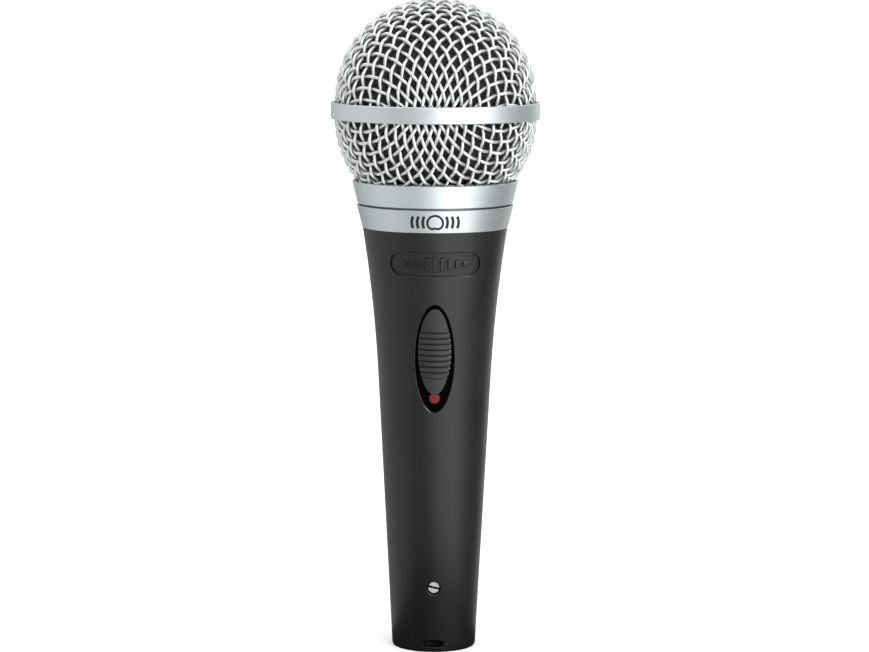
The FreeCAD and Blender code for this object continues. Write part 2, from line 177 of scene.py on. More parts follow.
# Round the emblem the skin leans out by so many mm per mm of height. Its radius, less that
# lean, tells the floor of the recess from the skin.
EMBLEM_Z, EMBLEM_W, EMBLEM_H, EMBLEM_LEAN = 100.0 * MM, 22.5 * MM, 5.95 * MM, 0.137
RECESS_R, RECESS_ROUGHNESS = 16.9 * MM, 0.46
place = add(tree, "ShaderNodeSeparateXYZ", _0=where_on_piece(tree))
across = add(tree, "ShaderNodeCombineXYZ", X=place.outputs["X"], Y=place.outputs["Y"])
radius = add(tree, "ShaderNodeVectorMath", {"operation": "LENGTH"}, _0=across.outputs[0])
upright = add(tree, "ShaderNodeMath",
              {"operation": "MULTIPLY_ADD", 1: -EMBLEM_LEAN, 2: EMBLEM_LEAN * EMBLEM_Z},
              _0=place.outputs["Z"])
straight = add(tree, "ShaderNodeMath", {"operation": "ADD"}, _0=radius.outputs["Value"],
               _1=upright.outputs[0])
sunk = add(tree, "ShaderNodeMath", {"operation": "LESS_THAN", 1: RECESS_R}, _0=straight.outputs[0])
beside = add(tree, "ShaderNodeMath", {"operation": "COMPARE", 1: 0.0, 2: EMBLEM_W / 2}, _0=place.outputs["X"])
level_with = add(tree, "ShaderNodeMath", {"operation": "COMPARE", 1: EMBLEM_Z, 2: EMBLEM_H / 2},
                 _0=place.outputs["Z"])
box = add(tree, "ShaderNodeMath", {"operation": "MULTIPLY"}, _0=beside.outputs[0], _1=level_with.outputs[0])
emblem = add(tree, "ShaderNodeMath", {"operation": "MULTIPLY"}, _0=box.outputs[0], _1=sunk.outputs[0])
dull = add(tree, "ShaderNodeMix", {3: RECESS_ROUGHNESS}, _0=emblem.outputs[0], _2=coat.outputs[0])
tree.links.new(dull.outputs[0], shader.inputs["Roughness"])
paint(enamel, "handle_body")

# ------------------------------------------------------------------ connector in the tail
# Black glass-filled nylon insert, moulded with a fine spark grain, three turned
# contact pins plated bright, and a plated screw in a blackened bush that holds it.
nylon, tree, shader = finish_of("glass_filled_nylon", IOR=1.45)
texture_of_surface(tree, shader, 0.3, 0.01, shades=("0e0e0f", "19191a"), gloss=(0.42, 0.58))
paint(nylon, "xlr_insert")
plating, tree, shader = finish_of("silver_plating", Metallic=1.0)
texture_of_surface(tree, shader, 1.2, 0.002, shades=("c4c2bc", "dcdad4"), gloss=(0.16, 0.28),
                   squeeze=(1, 1, 8))
paint(plating, "xlr_pin_1", "xlr_pin_2", "xlr_pin_3")
bright, tree, shader = finish_of("bright_nickel", Metallic=1.0)
texture_of_surface(tree, shader, 0.5, 0.004, gloss=(0.2, 0.34), edge=0.1)
# The screwdriver slot is cut into the face. Behind the face, in the slot and on the sides in the hole, the
# screw is painted dark as shade.
FACE_Y, SHADE_FROM_Y = -9.85 * MM, -9.55 * MM
place = add(tree, "ShaderNodeSeparateXYZ", _0=where_on_piece(tree))
painted_shade = add(tree, "ShaderNodeMapRange", {"From Min": FACE_Y, "From Max": SHADE_FROM_Y},
              Value=place.outputs["Y"])
shade_between(tree, shader, painted_shade.outputs[0], "e0deda", "1d1c1b")
paint(bright, "set_screw")
brass, tree, shader = finish_of("turned_brass", Metallic=1.0)
texture_of_surface(tree, shader, 0.8, 0.005, shades=("96733a", "c09a50"), gloss=(0.28, 0.44))
paint(brass, "cartridge_lugs", "switch_terminals")
blackened, tree, shader = finish_of("blackened_brass", Metallic=0.8)
texture_of_surface(tree, shader, 0.6, 0.005, shades=("141312", "262523"), gloss=(0.38, 0.55))
paint(blackened, "screw_bush")

# ------------------------------------------------------------------ switch
# A sliding button of ribbed ABS in a recess with a matt black floor, a red
# lacquered dot under its lower tip, and a small tin-plated switch behind.
floor_film, tree, shader = finish_of("matt_black_film", Roughness=0.85, IOR=1.12)
texture_of_surface(tree, shader, 0.25, 0.006, shades=("010101", "040404"))
paint(floor_film, "switch_plate")
# The button is drawn in its own frame in mm, x across, z up the handle and y into it: rows of
# points from tip to tip, each with its height, how far its middle hangs, its depth below
# the crown and how far it stands out at the sides. Every rib's upper edge is bevelled.
BUTTON_L, BUTTON_W, CROWN_R, CROWN_TOP, BUTTON_BACK = 11.0, 4.05, 12.0, -0.3, 1.6
BUTTON_AT, BUTTON_LEAN = Vector((0, -14.957, 75.95)), math.radians(4.169)
HALF_TRAVEL, COLUMNS = 1.85, 28
RIBS, TOP_RIB, RIB_PITCH, RIB_DEPTH = 8, 4.96, 1.45, 0.75
ROUND_FROM, ROUND_BY = 0.95, 0.14
STEM, STEM_Y = (2.6, 4.62, 4.6), 3.89
rows = [(z, 0, 0, 0) for z in (11, 10.95, 10.8, 10.5, 10, 9.3, 8.4, 7.4, 6.3, 5.5)]
for rib in range(RIBS):
    z = TOP_RIB - RIB_PITCH * rib
    rows += [(z + 0.29, 0, 0, 0.1), (z + 0.22, 0, RIB_DEPTH, 0), (z - 0.14, 0, RIB_DEPTH, 0),
             (z - 0.2, 0, 0.24, 0.02), (z - 0.44, 0, 0, 0.12)]
rows += [(-5.8, 0.75, 0, 0.1), (-5.95, 0.85, 0.08, 0.05), (-6.1, 0.9, 0.38, 0), (-7, 0.85, 0.4, 0),
         (-8, 0.6, 0.4, 0), (-9, 0.3, 0.42, 0), (-9.8, 0.15, 0.44, 0), (-10.4, 0.06, 0.46, 0),
         (-10.8, 0, 0.48, 0), (-10.95, 0, 0.5, 0), (-11, 0, 0.5, 0)]
bpy.ops.object.select_all(action="DESELECT")
bpy.ops.mesh.primitive_grid_add(x_subdivisions=COLUMNS, y_subdivisions=len(rows) - 1, size=2)
button = bpy.context.object
button.name = "ribbed_button"
for vertex in button.data.vertices:
    height, hang, depth, out = rows[round((1 - vertex.co.y) / 2 * (len(rows) - 1))]
    side = math.sin(vertex.co.x * math.pi / 2)
    z = height - hang * (1 - side * side)
    x = side * (BUTTON_W * math.sqrt(max(0, 1 - (z / BUTTON_L) ** 2)) + out * (1 - (z / BUTTON_L) ** 2))
    edge = max(0, abs(side) - ROUND_FROM) / (1 - ROUND_FROM)
    crown = CROWN_TOP + CROWN_R - math.sqrt(CROWN_R ** 2 - x * x)
    vertex.co = (x * MM, (crown + depth + ROUND_BY * edge * edge) * MM, z * MM)
bpy.ops.object.mode_set(mode="EDIT")
bpy.ops.mesh.select_all(action="SELECT")
bpy.ops.mesh.remove_doubles(threshold=0.001 * MM)
bpy.ops.mesh.select_mode(type="EDGE")
bpy.ops.mesh.select_all(action="DESELECT")
bpy.ops.mesh.select_non_manifold()
bpy.ops.mesh.extrude_region_move(TRANSFORM_OT_translate={"value": (0, 1 * MM, 0)})
bpy.ops.object.mode_set(mode="OBJECT")
for vertex in button.data.vertices:
    if vertex.select:
        vertex.co.y = BUTTON_BACK * MM
bpy.ops.object.mode_set(mode="EDIT")
bpy.ops.mesh.edge_face_add()
bpy.ops.mesh.select_mode(type="VERT")
bpy.ops.mesh.select_all(action="DESELECT")
bpy.ops.mesh.primitive_cube_add(size=1 * MM)
bpy.ops.transform.resize(value=STEM, center_override=(0, 0, 0))
bpy.ops.transform.translate(value=(0, STEM_Y * MM, 0))
bpy.ops.mesh.select_all(action="SELECT")
bpy.ops.mesh.normals_make_consistent(inside=False)
bpy.ops.object.mode_set(mode="OBJECT")
bpy.ops.object.transform_apply(location=True, rotation=True, scale=True)
slid = Matrix.Translation((0, 0, HALF_TRAVEL * MM))
button.data.transform(Matrix.Translation(BUTTON_AT * MM) @ Matrix.Rotation(BUTTON_LEAN, 4, "X") @ slid)
bpy.ops.object.shade_smooth_by_angle(angle=math.radians(30))
ribbed, tree, shader = finish_of("moulded_abs", IOR=1.45)
texture_of_surface(tree, shader, 0.2, 0.006, shades=("161718", "202122"), gloss=(0.31, 0.43), edge=0.08)
button.data.materials.append(ribbed)
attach(button, "switch")
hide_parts("switch_button")
acetal, tree, shader = finish_of("black_acetal", IOR=1.48)
texture_of_surface(tree, shader, 0.4, 0.004, shades=("0a0a0b", "131314"), gloss=(0.34, 0.46))
paint(acetal, "switch_actuator")
lacquer, tree, shader = finish_of("red_lacquer", IOR=1.35)
texture_of_surface(tree, shader, 0.6, 0.01, shades=("64070b", "860c12"), gloss=(0.34, 0.48))
paint(lacquer, "status_dot")
tinned, tree, shader = finish_of("tin_plated_steel", Metallic=1.0)
texture_of_surface(tree, shader, 1.5, 0.004, shades=("959592", "b4b4b1"), gloss=(0.3, 0.45))
paint(tinned, "switch_case")

# ------------------------------------------------------------------ wires inside the handle
# Stranded copper in coloured PVC, soldered at both ends and slack enough to let
# the capsule float: red and white carry the signal, black the ground.
for name, dark, light in (("wire_hot", "8f1512", "a61d19"), ("wire_cold", "c9c5b8", "dbd7cb"),
                          ("wire_ground", "101011", "1a1a1b")):
    pvc, tree, shader = finish_of("pvc_of_" + name, IOR=1.5)
    texture_of_surface(tree, shader, 0.7, 0.006, shades=(dark, light), gloss=(0.34, 0.48))
    paint(pvc, name)

# ------------------------------------------------------------------ capsule
# A dynamic capsule held by a rubber ring: zinc-plated magnet parts, a copper coil
# on a film former, a clear film diaphragm and a moulded resonator plate over it.
rubber, tree, shader = finish_of("black_moulded_rubber", IOR=1.5)
texture_of_surface(tree, shader, 0.5, 0.02, shades=("0f0f0f", "1b1b1b"), gloss=(0.7, 0.9))
paint(rubber, "shock_mount")
moulded, tree, shader = finish_of("black_moulded_abs", IOR=1.5)
texture_of_surface(tree, shader, 0.35, 0.01, shades=("0b0b0c", "161617"), gloss=(0.42, 0.58))
paint(moulded, "cartridge_housing", "resonator_cap")
zinc, tree, shader = finish_of("zinc_plated_steel", Metallic=1.0)
texture_of_surface(tree, shader, 2.0, 0.006, shades=("8d9092", "b2b4b3"), gloss=(0.3, 0.46), detail=4.0)
paint(zinc, "top_plate", "pole_piece", "yoke")
magnet_alloy, tree, shader = finish_of("nickel_plated_magnet", Metallic=1.0)
texture_of_surface(tree, shader, 1.0, 0.004, shades=("9d988f", "bdb8b0"), gloss=(0.24, 0.36))
paint(magnet_alloy, "magnet")
drawn, tree, shader = finish_of("drawn_aluminium", Metallic=1.0)
texture_of_surface(tree, shader, 3.0, 0.006, shades=("a7a8a9", "c4c5c6"), gloss=(0.32, 0.48),
                   squeeze=(1, 1, 0.1))
paint(drawn, "rear_chamber")
film, tree, shader = finish_of("clear_polyester_film", IOR=1.6)
texture_of_surface(tree, shader, 1.5, 0.004, shades=("cfc7a8", "e2dcc6"), gloss=(0.08, 0.2))
paint(film, "diaphragm")
former, tree, shader = finish_of("amber_polyimide", IOR=1.6)
texture_of_surface(tree, shader, 1.0, 0.003, shades=("94551a", "b8732a"), gloss=(0.24, 0.36))
paint(former, "coil_former")
# Enamelled copper, wound at about 0.1 mm on the real coil. The bands are far coarser: a radian
# of the wave takes 0.25 mm, so that a turn shows every 1.6 mm.
RADIANS_PER_UNIT = 20  # of a wave texture whose scale is 1
copper, tree, shader = finish_of("enamelled_copper", Roughness=0.3, Metallic=0.9)
turns = add(tree, "ShaderNodeTexWave", {"bands_direction": "Z", "Scale": 1 / (0.25 * MM) / RADIANS_PER_UNIT},
            Vector=where_on_piece(tree))
shade_between(tree, shader, turns.outputs["Fac"], "6e3318", "c06a38")
raise_surface(tree, shader, turns.outputs["Fac"], 0.05)
paint(copper, "voice_coil")
board, tree, shader = finish_of("phenolic_paper", IOR=1.5)
texture_of_surface(tree, shader, 0.8, 0.006, shades=("68401e", "8c5829"), gloss=(0.5, 0.68), detail=5.0)
paint(board, "terminal_board")

# ------------------------------------------------------------------ threaded seat
# Cast zinc ring on the handle's spigot, with a right-hand thread of 1.25 mm lead
# cut on its outside. The grille's collar screws down on it.
THREAD_CREST, THREAD_ROOT, LEAD, THREAD_START = 18.0, 17.55, 1.25, 114.35
HALF_ROOT, HALF_CREST, SINK = 0.5, 0.09, 0.1


def turned(name, profile, sides=128):
    """A closed profile of (radius, height) in mm, drawn out ring by ring round the axis."""
    bpy.ops.object.select_all(action="DESELECT")
    r, z = profile[0]
    bpy.ops.mesh.primitive_circle_add(vertices=sides, radius=r * MM, location=(0, 0, z * MM))
    piece = bpy.context.object
    piece.name = name
    bpy.ops.object.mode_set(mode="EDIT")
    bpy.ops.mesh.select_all(action="SELECT")
    for next_r, next_z in profile[1:] + profile[:1]:
        bpy.ops.mesh.extrude_region_move(TRANSFORM_OT_translate={"value": (0, 0, (next_z - z) * MM)})
        bpy.ops.transform.resize(value=(next_r / r, next_r / r, 1), center_override=(0, 0, 0))
        r, z = next_r, next_z
    bpy.ops.mesh.select_all(action="SELECT")
    bpy.ops.mesh.remove_doubles(threshold=0.002 * MM)
    bpy.ops.mesh.normals_make_consistent(inside=False)
    bpy.ops.object.mode_set(mode="OBJECT")
    bpy.ops.object.transform_apply(location=True, rotation=True, scale=True)
    return piece


def smooth_by_angle(piece):
    """Smooths a turned piece, except over its sharp corners."""
    bpy.ops.object.select_all(action="DESELECT")
    piece.select_set(True)
    bpy.context.view_layer.objects.active = piece
    bpy.ops.object.shade_smooth_by_angle(angle=math.radians(35))


seat = turned("threaded_seat_ring", [
    (14.0, 106), (15.58, 106), (15.58, 113.2), (THREAD_ROOT, 113.2), (THREAD_ROOT, 117.9),
    (THREAD_ROOT - 0.3, 118.2), (14.0, 118.2)])
smooth_by_angle(seat)
bpy.ops.object.select_all(action="DESELECT")
bpy.ops.mesh.primitive_plane_add(size=1 * MM, location=(0, 0, 0))
thread = bpy.context.object
thread.name = "threaded_seat_thread"
for vertex, (r, z) in zip(thread.data.vertices, (
        (THREAD_ROOT - SINK, THREAD_START - HALF_ROOT), (THREAD_CREST, THREAD_START - HALF_CREST),
        (THREAD_ROOT - SINK, THREAD_START + HALF_ROOT), (THREAD_CREST, THREAD_START + HALF_CREST))):
    vertex.co = (r * MM, 0, z * MM)
bpy.ops.object.mode_set(mode="EDIT")
bpy.ops.mesh.select_all(action="SELECT")
bpy.ops.mesh.delete(type="ONLY_FACE")
bpy.ops.object.mode_set(mode="OBJECT")
helix = thread.modifiers.new("lead", "SCREW")
helix.axis = "Z"
helix.angle = 2 * math.pi
helix.screw_offset = LEAD * MM
helix.iterations = 2
helix.steps = helix.render_steps = 96
bpy.ops.object.modifier_apply(modifier="lead")
bpy.ops.object.mode_set(mode="EDIT")
bpy.ops.mesh.select_all(action="DESELECT")
bpy.ops.mesh.select_mode(type="EDGE")
bpy.ops.mesh.select_non_manifold()
bpy.ops.mesh.edge_face_add()
bpy.ops.mesh.select_mode(type="VERT")
bpy.ops.mesh.select_all(action="SELECT")
bpy.ops.mesh.remove_doubles(threshold=0.002 * MM)
bpy.ops.mesh.normals_make_consistent(inside=False)
bpy.ops.object.mode_set(mode="OBJECT")
smooth_by_angle(thread)
cast_zinc, tree, shader = finish_of("cast_zinc", Metallic=1.0)
texture_of_surface(tree, shader, 1.0, 0.008, shades=("858684", "a8a9a7"), gloss=(0.34, 0.5),
                   squeeze=(1, 1, 3))
for piece in (seat, thread):
    piece.data.materials.append(cast_zinc)
    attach(piece, "handle")
    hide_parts("threaded_seat")

# ------------------------------------------------------------------ name band
# Turned aluminium ring lacquered in satin silver, pressed on the spigot under the
# grille. A pickup-pattern sign between sound waves is printed on it in black ink.
band_silver, tree, shader = finish_of("silver_lacquer_on_band", Metallic=0.85)
texture_of_surface(tree, shader, 3.0, 0.004, shades=("b3babb", "bfc6c7"), gloss=(0.28, 0.4),
                   squeeze=(1, 1, 14))
paint(band_silver, "name_band")
HEART_INK, WAVE_INK, INK_THICK = 0.55 * MM, 0.7 * MM, 0.02 * MM
HEART_R, HEART_DROP, WAVE_R, WAVE_REACHES = 1.5, 1.3, 3.4, (3.1, 4.5, 5.9)
SIGN_Z, ABOVE_BAND = 110.75 * MM, 0.015 * MM
BAND_LOW, BAND_HIGH = (18.5 * MM, 108.1 * MM), (19.91 * MM, 113.58 * MM)


def stroke(name, path, ink):
    """A strip of ink along a flat path, then laid round the sloping band."""
    bpy.ops.object.select_all(action="DESELECT")
    bpy.ops.mesh.primitive_grid_add(x_subdivisions=len(path) - 1, y_subdivisions=1, size=1)
    line = bpy.context.object
    line.name = name
    columns = {}
    for vertex in line.data.vertices:
        columns.setdefault(round(vertex.co.x, 5), []).append(vertex)
    slope = (BAND_HIGH[0] - BAND_LOW[0]) / (BAND_HIGH[1] - BAND_LOW[1])
    for k, x in enumerate(sorted(columns)):
        before, after = path[max(0, k - 1)], path[min(len(path) - 1, k + 1)]
        along = (Vector(after) - Vector(before)).normalized()
        for vertex in columns[x]:
            side = ink / 2 if vertex.co.y > 0 else -ink / 2
            u, v = path[k][0] - along.y * side, path[k][1] + along.x * side
            z = SIGN_Z + v
            r = BAND_LOW[0] + (z - BAND_LOW[1]) * slope + ABOVE_BAND
            vertex.co = (r * math.sin(u / r), -r * math.cos(u / r), z)
    return line


# The heart-shaped pickup pattern, with its notch downwards, and three waves on each side.
around = [math.radians(-90 + 6 * k) for k in range(61)]
swing = [HEART_R * (1 + math.sin(a)) for a in around]
heart = [(r * math.cos(a) * MM, (r * math.sin(a) - HEART_DROP) * MM) for r, a in zip(swing, around)]
strokes = [stroke("pattern_sign", heart, HEART_INK)]
for wave, reach in enumerate(WAVE_REACHES):
    for side in (-1, 1):
        arc = [(side * (reach - WAVE_R * (1 - math.cos(a))) * MM, WAVE_R * math.sin(a) * MM)
               for a in [math.radians(-26 + 4 * k) for k in range(14)]]
        strokes.append(stroke("wave_sign_%d_%s" % (wave + 1, "right" if side > 0 else "left"), arc, WAVE_INK))
bpy.ops.object.select_all(action="DESELECT")
for line in strokes:
    line.select_set(True)
bpy.context.view_layer.objects.active = strokes[0]
bpy.ops.object.join()
sign = bpy.context.object
sign.name = "band_printed_sign"
bpy.ops.object.transform_apply(location=True, rotation=True, scale=True)
bpy.ops.object.mode_set(mode="EDIT")
bpy.ops.mesh.select_all(action="SELECT")
bpy.ops.mesh.remove_doubles(threshold=0.001 * MM)
bpy.ops.object.mode_set(mode="OBJECT")
for face in sign.data.polygons:
    if face.normal.dot(face.center * Vector((1, 1, 0))) < 0:
        face.flip()
ink_coat = sign.modifiers.new("coat", "SOLIDIFY")
ink_coat.thickness = INK_THICK
ink_coat.offset = 1
bpy.ops.object.modifier_apply(modifier="coat")
ink, tree, shader = finish_of("black_pad_print_ink", IOR=1.4)
texture_of_surface(tree, shader, 0.3, 0.002, shades=("060607", "0d0d0f"), gloss=(0.4, 0.55))
sign.data.materials.append(ink)
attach(sign, "handle")

# ------------------------------------------------------------------ collar and ring of the grille
# Turned rings, blasted, faced and lacquered satin silver: the collar carries the
# thread, the middle ring joins the two halves of woven wire.
silver, tree, shader = finish_of("silver_lacquer", Metallic=0.85)
texture_of_surface(tree, shader, 3.0, 0.004, shades=("b9c1c2", "c7cfd0"), gloss=(0.3, 0.42),
                   squeeze=(1, 1, 14))
paint(silver, "grille_collar", "grille_band")
pressed, tree, shader = finish_of("pressed_steel", Metallic=1.0)
texture_of_surface(tree, shader, 1.5, 0.006, shades=("7b7d7e", "a0a2a3"), gloss=(0.32, 0.5))
paint(pressed, "grille_clamp_ring")

# ------------------------------------------------------------------ woven wire grille
# Plain-woven steel cloth pressed over a ball in two halves: every wire keeps its
# spacing, so the square cells lean into diamonds towards the rim. Sprayed silver.
WIRE = 0.84 * MM
PER_PITCH = 10  # points along a wire from one crossing to the next
CLOTH_REACH = 47  # mm of cloth from the pole
# Each half: height of its ball's centre, radius and way up, pitch of its wires, shift of the
# cloth in points, its turn in degrees, and where its wires are kept.
HALVES = (
    ("dome", 140.45, 25.5, 1, 2.92, (-1, 5), 45.7, lambda p: p.z > 138.05 * MM),
    ("bowl", 135.6, 25.65, -1, 2.79, (0, -2), 41.1, lambda p: 118.6 * MM < p.z < 136.95 * MM))


def draped_cloth(spacing, reach):
    """One quarter of square cloth laid on a unit ball from its pole, in steps of
    spacing: each new crossing is the last corner mirrored in the line of its neighbours."""
    quarter = {(0, 0): Vector((0, 0, 1))}
    for k in range(1, reach + 1):
        quarter[k, 0] = Vector((math.sin(spacing * k), 0, math.cos(spacing * k)))
        quarter[0, k] = Vector((0, math.sin(spacing * k), math.cos(spacing * k)))
    for i in range(1, reach + 1):
        for j in range(1, reach + 1):
            corner = quarter[i - 1, j - 1]
            across = quarter[i - 1, j].cross(quarter[i, j - 1]).normalized()
            quarter[i, j] = corner - 2 * corner.dot(across) * across
    return quarter


def wires(name, quarter, reach, warp, shift, turn, centre, radius, flip, keep):
    """Round wires along one direction of the cloth, crimped over and under the other and
    broken where keep says that a point isn't kept."""
    curve = bpy.data.curves.new(name, "CURVE")
    curve.dimensions = "3D"
    curve.bevel_depth = WIRE / 2
    curve.bevel_resolution = 2
    curve.use_fill_caps = True
    own, other = shift if warp else shift[::-1]
    rows = reach // PER_PITCH
    c, s = math.cos(turn), math.sin(turn)
    for row in range(-rows + 1, rows):
        runs = [[]]
        for k in range(-reach, reach + 1):
            i, j = (row * PER_PITCH + own, k) if warp else (k, row * PER_PITCH + own)
            x, y, z = quarter[abs(i), abs(j)]
            x, y = math.copysign(x, i) * (i != 0), math.copysign(y, j) * (j != 0)
            wave = math.cos(math.pi * (k - other) / PER_PITCH) * (-1) ** row * (1 if warp else -1)
            r = radius + WIRE / 2 * wave
            point = Vector(((x * c - y * s) * r, (x * s + y * c) * r, centre + flip * z * r))
            if keep(point):
                runs[-1].append(point)
            elif runs[-1]:
                runs.append([])
        for points in runs:
            if len(points) < 4:
                continue
            spline = curve.splines.new("POLY")
            spline.points.add(len(points) - 1)
            for vertex, point in zip(spline.points, points):
                vertex.co = (*point, 1)
    wire = bpy.data.objects.new(name, curve)
    scene.collection.objects.link(wire)
    bpy.ops.object.select_all(action="DESELECT")
    wire.select_set(True)
    bpy.context.view_layer.objects.active = wire
    bpy.ops.object.convert(target="MESH")
    bpy.ops.object.shade_smooth()
    return bpy.context.object


wire_lacquer, tree, shader = finish_of("silver_lacquer_on_wire", Metallic=0.7)
texture_of_surface(tree, shader, 0.5, 0.006, shades=("bfc3c2", "d8dcdb"), gloss=(0.26, 0.4))
for part, centre, radius, flip, pitch, shift, turn, keep in HALVES:
    middle = radius * MM - WIRE
    reach = int(CLOTH_REACH / pitch) * PER_PITCH + PER_PITCH
    quarter = draped_cloth(pitch * MM / middle / PER_PITCH, reach + PER_PITCH)
    for warp in (True, False):
        cloth = wires("grille_%s_%s" % (part, "warp" if warp else "weft"), quarter, reach, warp, shift,
                      math.radians(turn), centre * MM, middle, flip, keep)
        cloth.data.materials.append(wire_lacquer)
        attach(cloth, "grille")
        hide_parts("grille_" + part)

# ------------------------------------------------------------------ foam liner
# A cup of charcoal open-cell foam, hot-formed to both halves of the grille and
# glued in behind the wire, where it stops breath and moisture.
FOAM_R, FOAM_T, FOAM_MOUTH = 23.45 * MM, 2.0 * MM, 120.45 * MM
LOWER_CENTRE, UPPER_CENTRE = 135.6 * MM, 140.45 * MM
LUMP, SMALL_LUMP, LUMP_HEIGHT = 2.2 * MM, 1.0 * MM, 0.1 * MM
bpy.ops.object.select_all(action="DESELECT")
bpy.ops.mesh.primitive_uv_sphere_add(segments=144, ring_count=90, radius=FOAM_R,
                                     location=(0, 0, LOWER_CENTRE))
foam_cup = bpy.context.object
foam_cup.name = "foam_cup"
bpy.ops.object.transform_apply(location=True, rotation=True, scale=True)
bpy.ops.object.mode_set(mode="EDIT")
bpy.ops.mesh.select_all(action="DESELECT")
bpy.ops.object.mode_set(mode="OBJECT")
for vertex in foam_cup.data.vertices:
    vertex.select = vertex.co.z > LOWER_CENTRE + 0.1 * MM
bpy.ops.object.mode_set(mode="EDIT")
bpy.ops.transform.translate(value=(0, 0, UPPER_CENTRE - LOWER_CENTRE))
bpy.ops.mesh.select_all(action="SELECT")
bpy.ops.mesh.bisect(plane_co=(0, 0, FOAM_MOUTH), plane_no=(0, 0, 1), clear_inner=True)
bpy.ops.object.mode_set(mode="OBJECT")
wall = foam_cup.modifiers.new("wall", "SOLIDIFY")
wall.thickness = FOAM_T
wall.offset = -1
bpy.ops.object.modifier_apply(modifier="wall")
for vertex in foam_cup.data.vertices:
    hollow = noise.noise(vertex.co / LUMP) + 0.5 * noise.noise(vertex.co / SMALL_LUMP)
    if vertex.co.z > FOAM_MOUTH + 0.5 * MM:
        outward = Vector((vertex.co.x, vertex.co.y, vertex.co.z - LOWER_CENTRE)).normalized()
        vertex.co += outward * LUMP_HEIGHT * hollow
bpy.ops.object.shade_smooth()
# Open cells of about half a millimetre: each pit is painted dark, as the shade inside it, between lighter
# struts.
foam, tree, shader = finish_of("open_cell_polyurethane_foam", Roughness=0.95, IOR=1.3)
cells = add(tree, "ShaderNodeTexVoronoi", {"Scale": 1 / (0.55 * MM), "Randomness": 1.0},
            Vector=where_on_piece(tree))
struts = add(tree, "ShaderNodeMapRange", {"From Min": 0.15, "From Max": 0.6}, Value=cells.outputs["Distance"])
shade_between(tree, shader, struts.outputs[0], "101011", "353638")
raise_surface(tree, shader, struts.outputs[0], 0.25)
foam_cup.data.materials.append(foam)
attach(foam_cup, "liner")
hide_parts("foam_liner")

# ------------------------------------------------------------------ cloth and felt of the capsule
# A disc of woven polyester glued under the resonator plate, and a punched disc of
# wool felt over the vents behind the magnet.
CLOTH_R, CLOTH_Z, CLOTH_SAG, CLOTH_T = 12.35 * MM, 138.95 * MM, 0.05 * MM, 0.08 * MM
FELT_R, FELT_Z, FELT_T = 9.6 * MM, 118.2 * MM, 1.5 * MM
bpy.ops.object.select_all(action="DESELECT")
bpy.ops.mesh.primitive_circle_add(vertices=64, radius=CLOTH_R, fill_type="TRIFAN", location=(0, 0, CLOTH_Z))
cloth_disc = bpy.context.object
cloth_disc.name = "resonator_cloth_disc"
bpy.ops.object.mode_set(mode="EDIT")
bpy.ops.mesh.select_all(action="SELECT")
bpy.ops.mesh.subdivide(number_cuts=5)
bpy.ops.object.mode_set(mode="OBJECT")
bpy.ops.object.transform_apply(location=True, rotation=True, scale=True)
for vertex in cloth_disc.data.vertices:
    vertex.co.z -= CLOTH_SAG * (1 - (vertex.co.xy.length / CLOTH_R) ** 2)
thick = cloth_disc.modifiers.new("thickness", "SOLIDIFY")
thick.thickness = CLOTH_T
bpy.ops.object.modifier_apply(modifier="thickness")
bpy.ops.object.shade_smooth()
# Plain weave, with threads 0.12 mm apart on the real cloth. The bands are far coarser: a radian
# of each wave takes 0.3 mm, so that a thread shows every 1.9 mm.
weave, tree, shader = finish_of("woven_polyester", Roughness=0.8, Sheen_Weight=0.3)
warp_threads, weft_threads = [
    add(tree, "ShaderNodeTexWave", {"bands_direction": direction, "Scale": 1 / (0.3 * MM) / RADIANS_PER_UNIT},
        Vector=where_on_piece(tree)).outputs["Fac"] for direction in ("X", "Y")]
threads = add(tree, "ShaderNodeMath", {"operation": "MULTIPLY"}, _0=warp_threads, _1=weft_threads)
shade_between(tree, shader, threads.outputs[0], "0c0c0d", "2c2c2e")
raise_surface(tree, shader, threads.outputs[0], 0.06)
cloth_disc.data.materials.append(weave)
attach(cloth_disc, "capsule")
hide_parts("resonator_cloth")

bpy.ops.object.select_all(action="DESELECT")
bpy.ops.mesh.primitive_cylinder_add(vertices=72, radius=FELT_R, depth=FELT_T, end_fill_type="TRIFAN",
                                    location=(0, 0, FELT_Z))
felt_disc = bpy.context.object
felt_disc.name = "damping_felt_disc"
bpy.ops.object.mode_set(mode="EDIT")
bpy.ops.mesh.select_all(action="SELECT")
bpy.ops.mesh.subdivide(number_cuts=4)
bpy.ops.object.mode_set(mode="OBJECT")
bpy.ops.object.transform_apply(location=True, rotation=True, scale=True)
for vertex in felt_disc.data.vertices:
    rim = max(0.0, vertex.co.xy.length / FELT_R - 0.93) / 0.07
    vertex.co.z = FELT_Z + (vertex.co.z - FELT_Z) * (1 - 0.25 * rim * rim)
    vertex.co.z += 0.04 * MM * noise.noise(vertex.co / (0.6 * MM))
bpy.ops.object.shade_smooth()
felt, tree, shader = finish_of("wool_felt", Roughness=0.95, Sheen_Weight=0.4)
texture_of_surface(tree, shader, 0.35, 0.08, shades=("77756f", "a09e97"), detail=6.0)
felt_disc.data.materials.append(felt)
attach(felt_disc, "capsule")
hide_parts("damping_felt")

# ------------------------------------------------------------------ floor and light
# A pale floor that nothing mirrors, under a bright ceiling. The walls are brightest to
# the right of the camera, as from a very large soft box, and dim beyond it; a dimmer
# skirting runs along them below the eye. The camera itself sees plain white.
bpy.ops.object.select_all(action="DESELECT")
bpy.ops.mesh.primitive_plane_add(size=60, location=(0, 0, 0))
floor = bpy.context.object
floor.name = "floor"
floor.visible_glossy = False
pale, tree, shader = finish_of("pale_floor", Base_Color=srgb("fafaf9"), Roughness=0.9)
floor.data.materials.append(pale)
